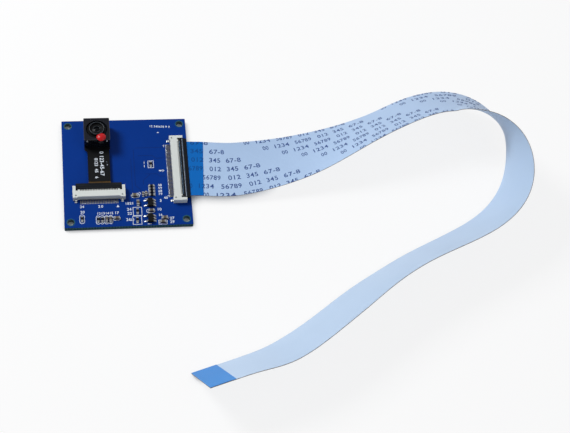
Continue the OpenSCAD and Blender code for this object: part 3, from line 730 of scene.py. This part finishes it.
def padRoom(low, high, a, b):
    # the widest stretch of the pad a-b that shows beyond the terminal: length, axis, sign
    room = [(b.x - high.x, 0, 1), (low.x - a.x, 0, -1), (b.y - high.y, 1, 1), (low.y - a.y, 1, -1)]
    return max([r for r in room if r[0] > solder["leastRoom"]], default=None)


def fillet(low, high, a, b, evenness, draw):
    # a concave wedge between the end of a terminal and the end of its pad: rings of
    # points in mm, and whether its faces have to be flipped
    s = solder
    length, axis, sign = padRoom(low, high, a, b)
    other = 1 - axis
    wide = min((b[other] - a[other]) / 2, (high[other] - low[other]) / 2 + s["beside"])
    wide *= draw.uniform(0.9, 1.0)
    rise = min(s["rise"], (high.z - b.z) * s["riseShare"], length * s["steepness"])
    rise *= draw.uniform(0.8, 1.1)
    reach = length * s["reach"] * draw.uniform(evenness, 1.0)
    root = high[axis] if sign > 0 else low[axis]
    centre = (max(a[other], low[other]) + min(b[other], high[other])) / 2
    section = [(-1, 0)] + [(w, 1 - s["crown"] * w * w) for w in (-1, -0.5, 0, 0.5, 1)] + [(1, 0)]
    rings = []
    for i in range(s["steps"] + 1):
        t = i / s["steps"]
        ring = []
        for w, share in section:
            spot = [0, 0, b.z + s["lift"] + (s["foot"] + rise * (1 - t) ** s["hollow"]) * share]
            spot[axis] = root + sign * (reach * t - s["overlap"])
            spot[other] = centre + wide * w * (1 - s["narrowing"] * t * t)
            ring.append(Vector(spot))
        rings.append(ring)
    return rings, (sign > 0) == (axis == 1)


def tubeFaces(start, rings, n):
    # faces of a closed tube of rings with n points each, its two ends included
    faces = []
    for i in range(rings - 1):
        k = start + i * n
        for j in range(n):
            m = (j + 1) % n
            faces.append((k + j, k + m, k + n + m, k + n + j))
    last = start + (rings - 1) * n
    return faces + [tuple(range(start, start + n))[::-1], tuple(range(last, last + n))]


def solderFillets(name, nodes, finish, evenness):
    draw = random.Random(solder["seed"])
    pads = looseParts("solder_pads")
    points, faces = [], []
    for node in nodes:
        for low, high in looseParts(node):
            under = [(a, b) for a, b in pads if a.x < high.x and b.x > low.x and a.y < high.y and b.y > low.y]
            for a, b in under:
                if not padRoom(low, high, a, b):
                    continue
                rings, flip = fillet(low, high, a, b, evenness, draw)
                tube = tubeFaces(len(points), len(rings), len(rings[0]))
                points += [point * mm for ring in rings for point in ring]
                faces += [f[::-1] for f in tube] if flip else tube
    newObject(name, meshOf(name, points, faces), [finishes[finish]], smooth=True)


for name, row in solder["pieces"].items():
    solderFillets(name, row["nodes"], row["finish"], row["evenness"])
print("soldered")

marks = {
    "lift": 0.02,
    "line": 0.17,
    # plain outlines on the board, mm: left, low, right, high
    "boxes": [(1.4, -16.3, 4.1, -13.3), (1.2, -19.5, 3.9, -16.5), (6.75, -9.1, 8.6, -5.5),
              (9.2, -19.7, 11.8, -18.2), (7.0, 1.3, 8.75, 3.9)],
    # outlines with round ends: middle, width, height
    "rounds": [(-9.55, -17.45, 1.25, 3.0), (-8.3, -17.45, 1.25, 3.0), (-6.95, -17.45, 1.25, 3.0),
               (-5.7, -17.45, 1.25, 3.0), (-3.9, -17.1, 2.4, 1.3), (-14.5, -17, 1.5, 3.2),
               (6.9, -14.75, 2.6, 1.3), (2.4, -9.0, 2.6, 1.5)],
    # plain figures: text, left, base, height of a figure, and the turn where there is one
    "figures": [
        ("12", -9.9, -15.5, 0.8), ("13", -8.6, -15.5, 0.8), ("14", -7.3, -15.5, 0.8),
        ("15", -6.0, -15.5, 0.8), ("17", -4.4, -15.5, 0.9), ("20", -14.95, -14.9, 0.9),
        ("4", 9.7, -5.7, 0.8), ("5", 9.7, -6.8, 0.8), ("6", 9.7, -7.9, 0.8), ("7", 9.7, -9.0, 0.8),
        ("8", 10.35, -5.7, 0.8), ("9", 10.35, -6.8, 0.8), ("8", 10.35, -7.9, 0.8), ("9", 10.35, -9.0, 0.8),
        ("10", 8.9, -14.7, 0.95), ("16", 9.2, -16.7, 0.85), ("3", 9.9, -11.5, 0.95),
        ("27", 12.7, -18.1, 0.95), ("29", 12.7, -19.4, 0.95), ("18", -1.0, -12.2, 0.9),
        ("21", 0.4, -12.2, 0.9), ("24", -0.5, -14.4, 0.95), ("22", -0.4, -15.9, 0.95),
        ("26", -0.9, -18.1, 0.95), ("28", 0.4, -18.1, 0.8), ("23", 3.3, -8.9, 0.8, 30),
        ("25", 5.2, -8.6, 0.8), ("24", -15.0, -12.9, 0.85), ("2", -9.4, -13.0, 0.9),
        ("0", -8.5, -13.0, 0.9), ("1", 12.2, 9.1, 0.75), ("4", 11.15, -0.2, 0.85, 90),
        ("0", 12.0, -0.2, 0.85, 90), ("40", 11.3, -10.5, 0.85), ("1", 5.5, 2.9, 0.85),
        ("1", 5.5, 1.6, 0.85), ("12 345678 9 0", 8.2, 17.0, 0.74, -4),
    ],
    # bars: start, end, width
    "bars": [((12.2, 9.55), (12.6, 9.9), 0.3), ((12.55, -9.4), (13.0, -9.4), 0.25),
             ((10.6, 14.8), (11.15, 14.8), 0.28), ((5.75, -19.45), (6.95, -19.45), 0.2),
             ((5.35, -10.3), (7.9, -10.3), 0.16)],
    # arrow heads that point to +Y: middle, half their size
    "arrows": [(-3.25, -12.55, 0.45)],
}

tracks = {
    "width": 0.2,
    "lift": 0.012,
    "routes": [
        [(3.2, 9.0), (12.3, 9.0)], [(2.6, 8.4), (2.6, -5.2), (4.2, -6.8), (4.2, -8.4)],
        [(4.0, 6.0), (8.5, 6.0), (9.6, 4.9), (12.2, 4.9)], [(1.6, 5.0), (1.6, -7.4), (3.0, -8.8)],
        [(5.9, -1.0), (9.6, -1.0), (10.6, -2.0), (12.2, -2.0)], [(5.2, -5.0), (5.2, -3.4), (7.4, -1.2)],
        [(0.2, -18.6), (0.2, -10.4), (-1.4, -8.8)],
    ],
}


def turned(x, y, degrees):
    c, s = math.cos(math.radians(degrees)), math.sin(math.radians(degrees))
    return x * c - y * s, x * s + y * c


class FlatMarks(InkSheet):
    # flat shapes on a level face, with strokes, rings and figures in mm
    def __init__(self, height, turn=0.0, origin=(0, 0)):
        self.turn = turn
        self.origin = origin
        self.height = height
        super().__init__(self.lay)

    def lay(self, x, y):
        dx, dy = turned(x, y, self.turn)
        return Vector((self.origin[0] + dx, self.origin[1] + dy, self.height)) * mm

    def stroke(self, path, width, closed=False):
        # one band with mitred corners, none reaching further out than the band is wide
        pts = [Vector(p) for p in path]
        n = len(pts)
        rows = []
        for i, p in enumerate(pts):
            before = pts[i - 1] if closed or i else p
            after = pts[(i + 1) % n] if closed or i < n - 1 else p
            one = (p - before).normalized() if (p - before).length else (after - p).normalized()
            two = (after - p).normalized() if (after - p).length else one
            normal = Vector((-(one + two).y, (one + two).x)).normalized()
            reach = width / 2 / max(0.5, normal.dot(Vector((-one.y, one.x))))
            rows.append((p + normal * reach, p - normal * reach))
        faces = []
        for i in range(n if closed else n - 1):
            j = (i + 1) % n
            faces.append((2 * i + 1, 2 * j + 1, 2 * j, 2 * i))
        self.add([tuple(q) for row in rows for q in row], faces)

    def ring(self, x, y, wide, high, width, count=24):
        # an outline with round ends
        r = min(wide, high) / 2
        path = []
        for i in range(count):
            a = 2 * math.pi * (i + 0.5) / count
            path.append((x + math.copysign(wide / 2 - r, math.cos(a)) + r * math.cos(a),
                         y + math.copysign(high / 2 - r, math.sin(a)) + r * math.sin(a)))
        self.stroke(path, width, closed=True)

    def figures(self, text, x, y, height, turn=0.0, bold=0.03):
        # bold: how much heavier than the font, as a share of the height
        points, faces = glyphMesh(text, height / capShare, height * bold)
        spots = [turned(px, py, turn) for px, py in points]
        self.add([(x + dx, y + dy) for dx, dy in spots], faces)


def printBoard():
    sheet = FlatMarks(boardTop + marks["lift"])
    line = marks["line"]
    for x0, y0, x1, y1 in marks["boxes"]:
        sheet.stroke([(x0, y0), (x1, y0), (x1, y1), (x0, y1)], line, closed=True)
    for x, y, wide, high in marks["rounds"]:
        sheet.ring(x, y, wide, high, line)
    for text, *row in marks["figures"]:
        sheet.figures(text, *row)
    for start, end, width in marks["bars"]:
        sheet.stroke([start, end], width)
    for x, y, size in marks["arrows"]:
        sheet.add([(x - size, y - size), (x + size, y - size), (x, y + size)], [(0, 1, 2)])
    sheet.piece("boardPrint", "ink", "circuit_board")


def layTracks():
    sheet = FlatMarks(boardTop + tracks["lift"])
    for route in tracks["routes"]:
        sheet.stroke(route, tracks["width"])
    sheet.piece("boardTracks", "maskedTrack", "circuit_board")


printBoard()
layTracks()
print("board printed")

flexPrint = {
    "lift": 0.02,
    "turn": -90,  # read down the film, heads to +X
    # plain figures, foot of the column, its start and a figure's height
    "columns": [("0 123-45-67", -8.2, 7.3, 1.2), ("0123  45   6", -9.9, 4.8, 1.0)],
    # middle and size
    "dots": [(-5.95, 2.2, 0.28), (-6.2, 3.3, 0.16)],
}


def printFlex():
    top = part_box("flex_coverlay")[1][2] / mm + flexPrint["lift"]
    for i, (text, foot, start, height) in enumerate(flexPrint["columns"]):
        sheet = FlatMarks(top, flexPrint["turn"], (foot, start))
        sheet.figures(text, 0, 0, height)
        sheet.piece("flexPrint%d" % (i + 1), "ink", "flex_coverlay")
    sheet = FlatMarks(top)
    for x, y, size in flexPrint["dots"]:
        sheet.stroke([(x - size / 2, y), (x + size / 2, y)], size)
    sheet.piece("flexDots", "inkGrey", "flex_coverlay")


printFlex()
print("flex printed")


def thicken(mesh, depth):
    # gives a skin its other side, depth in mm
    work = bmesh.new()
    work.from_mesh(mesh)
    bmesh.ops.solidify(work, geom=work.faces, thickness=depth * mm)
    bmesh.ops.recalc_face_normals(work, faces=work.faces)
    work.to_mesh(mesh)
    work.free()


def latheRing(name, centre, profile, count, finish):
    # a ring turned round Z from a closed profile of (radius, height), mm
    n = len(profile)
    points, faces = [], []
    for i in range(count):
        a = 2 * math.pi * i / count
        points += [(Vector((r * math.cos(a), r * math.sin(a), z)) + Vector(centre)) * mm for r, z in profile]
        k = (i + 1) % count
        for j in range(n):
            m = (j + 1) % n
            faces.append((i * n + j, k * n + j, k * n + m, i * n + m))
    newObject(name, meshOf(name, points, faces), [finishes[finish]], smooth=True)


def bead(radius, height, tube, sides=8):
    # a round section for latheRing
    turns = [2 * math.pi * k / sides for k in range(sides)]
    return [(radius + tube * math.cos(a), height + tube * math.sin(a)) for a in turns]


lens = {
    # section of the barrel's rim: radius, height over the barrel; mm
    "rim": [(2.34, -0.05), (2.34, 0.42), (2.3, 0.46), (2.24, 0.46), (2.2, 0.42), (2.2, -0.05)],
    "rimSides": 72,
    "seat": 1.12,  # radius of the ring that holds the front glass
    "seatTube": 0.06,
    "seatLift": 0.02,
    "seatSides": 48,
}


def dressLens():
    low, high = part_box("lens_barrel")
    centre = ((low[0] + high[0]) / 2 / mm, (low[1] + high[1]) / 2 / mm, 0)
    top = high[2] / mm
    # both rings take the rim finish, painted a lighter grey as a highlight
    latheRing("barrelRim", centre, [(r, top + z) for r, z in lens["rim"]], lens["rimSides"],
              "rim")
    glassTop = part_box("front_lens")[1][2] / mm
    latheRing("glassSeat", centre, bead(lens["seat"], glassTop + lens["seatLift"], lens["seatTube"]),
              lens["seatSides"], "rim")


dressLens()

cornerHighlight = {
    # spots of painted highlight near the corners of the holder's front face: middle (x, height), width, rise;
    # mm
    "spots": [(-12.0, 6.15, 0.6, 0.95), (-5.76, 6.2, 0.5, 0.95)],
    "depth": 0.12,  # how far a spot reaches into the holder
    "proud": 0.3,  # share of that depth that it stands out, with a flat top
    "lumps": 0.18,
    "rough": 0.03,
    "seed": 11,
}


def glueSpots():
    # lumpy flat spots on the holder's front face, coloured as painted highlights
    draw = random.Random(cornerHighlight["seed"])
    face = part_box("lens_holder")[0][1] / mm
    work = bmesh.new()
    for x, z, wide, rise in cornerHighlight["spots"]:
        for vert in bmesh.ops.create_icosphere(work, subdivisions=3, radius=1)["verts"]:
            n = vert.co.copy()
            swell = 1 + cornerHighlight["lumps"] * math.sin(5 * n.x + 3 * n.z)
            swell += draw.uniform(-cornerHighlight["rough"], cornerHighlight["rough"])
            vert.co = Vector((x + n.x * wide / 2 * swell, face + max(-cornerHighlight["proud"], n.y) * cornerHighlight["depth"],
                              z + n.z * rise / 2 * swell)) * mm
    mesh = bpy.data.meshes.new("glueSpots")
    work.to_mesh(mesh)
    work.free()
    newObject("glueSpots", mesh, [finishes["paleHighlight"]], smooth=True)


glueSpots()

lockDress = {
    "nose": 0.35,  # mm, radius of the lock's round nose
    "hinge": 3.2,  # height of its hinge line
    "hingeX": 17.5,
    "ways": 40,
    "skin": 0.012,  # how far a skin stands over the lock
    "thick": 0.01,
    "slotWide": 0.26,
    "slotShare": (0.7, 1.1),  # of that width, drawn for each
    "slotSwell": 0.01,
    "slotSteps": 6,
    # degrees round the nose where a slot's mouth starts and ends, and what is drawn for each
    "slotStart": (118, -10, 10),
    "slotEnd": (62, -8, 12),
    # section of the lock's ridge: distance from the hinge line, height over it
    "ridge": [(0.7, 0.35), (0.82, 0.4), (0.98, 0.4), (1.05, 0.33)],
    "ridgePast": 0.9,  # how far the ridge goes past the outer ways
    "ridgeSteps": 40,
    "seed": 5,
}


def rideCableLock(name, mesh, finish):
    thicken(mesh, lockDress["thick"])
    newObject(name, mesh, [finishes[finish]], body="cable_lock")


def lockSlots():
    # the mouths of the slots across the lock's round nose, one over each contact: the contacts in them, with
    # a painted glint
    d = lockDress
    draw = random.Random(d["seed"])
    points, faces = [], []
    for i in range(d["ways"]):
        y = (i - (d["ways"] - 1) / 2) * cable["pitch"]
        wide = d["slotWide"] * draw.uniform(*d["slotShare"])
        first = d["slotStart"][0] + draw.uniform(*d["slotStart"][1:])
        last = d["slotEnd"][0] + draw.uniform(*d["slotEnd"][1:])
        for k in range(d["slotSteps"] + 1):
            share = k / d["slotSteps"]
            a = math.radians(first + (last - first) * share)
            r = d["nose"] + d["skin"] + d["slotSwell"] * math.sin(math.pi * share)
            x, z = d["hingeX"] + r * math.cos(a), d["hinge"] + r * math.sin(a)
            points += [Vector((x, y + side * wide, z)) * mm for side in (-0.5, 0.5)]
            if k < d["slotSteps"]:
                j = len(points) - 2
                faces.append((j, j + 2, j + 3, j + 1))
    rideCableLock("cableLockSlots", meshOf("cableLockSlots", points, faces), "slots")


def paintRidgeHighlight():
    # a thin skin over the ridge of the cable's lock, painted grey as a highlight along it
    d = lockDress
    reach = d["ways"] * cable["pitch"] / 2 + d["ridgePast"]
    n = len(d["ridge"])
    points, faces = [], []
    for i in range(d["ridgeSteps"] + 1):
        y = -reach + 2 * reach * i / d["ridgeSteps"]
        points += [Vector((d["hingeX"] + x, y, d["hinge"] + z + d["skin"])) * mm for x, z in d["ridge"]]
    for i in range(d["ridgeSteps"]):
        for j in range(i * n, i * n + n - 1):
            faces.append((j, j + 1, j + n + 1, j + n))
    rideCableLock("lockRidge", meshOf("lockRidge", points, faces), "ridge")


lockSlots()
paintRidgeHighlight()

softened = {
    # node: piece, bevel (mm), shortest edge bevelled (mm), finish, finish of the sides
    "lens_holder": ("lensHolderShell", 0.14, 1.5, "holder", "holderSide"),
    "regulator_bodies": ("regulatorShells", 0.09, 0.7, "epoxy", "epoxy"),
    "sensor_connector_housing": ("sensorConnectorShell", 0.05, 1.0, "housing", "housing"),
    "cable_connector_housing": ("cableConnectorShell", 0.05, 1.0, "housing", "housing"),
}
weld = 1e-7  # metres: points nearer than this are one
flatAngle = 0.01  # radians: faces that meet at less are one face
sharpAngle = 1.2  # radians: outer edges that turn by more are rounded
upward = 0.95  # a face whose normal is this near to vertical is a top or a bottom


def soften(node, piece, width, shortest, finish, sideFinish):
    # a copy of a solid with its long outer edges rounded
    work = bmesh.new()
    work.from_mesh(bpy.data.objects[node].data)
    bmesh.ops.remove_doubles(work, verts=work.verts, dist=weld)
    bmesh.ops.dissolve_limit(work, angle_limit=flatAngle, verts=work.verts, edges=work.edges)
    edges = [e for e in work.edges if len(e.link_faces) == 2 and e.is_convex
             and e.calc_face_angle() > sharpAngle and e.calc_length() > shortest * mm]
    bmesh.ops.bevel(work, geom=edges, offset=width * mm, segments=2, profile=0.5, affect="EDGES",
                    clamp_overlap=True)
    bmesh.ops.recalc_face_normals(work, faces=work.faces)
    mesh = bpy.data.meshes.new(piece)
    work.to_mesh(mesh)
    work.free()
    shell = newObject(piece, mesh, [finishes[finish], finishes[sideFinish]])
    for face in mesh.polygons:
        face.material_index = 0 if abs(face.normal.z) > upward else 1
    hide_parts(node)


for node, row in softened.items():
    soften(node, *row)
print("lens and locks dressed, edges softened")
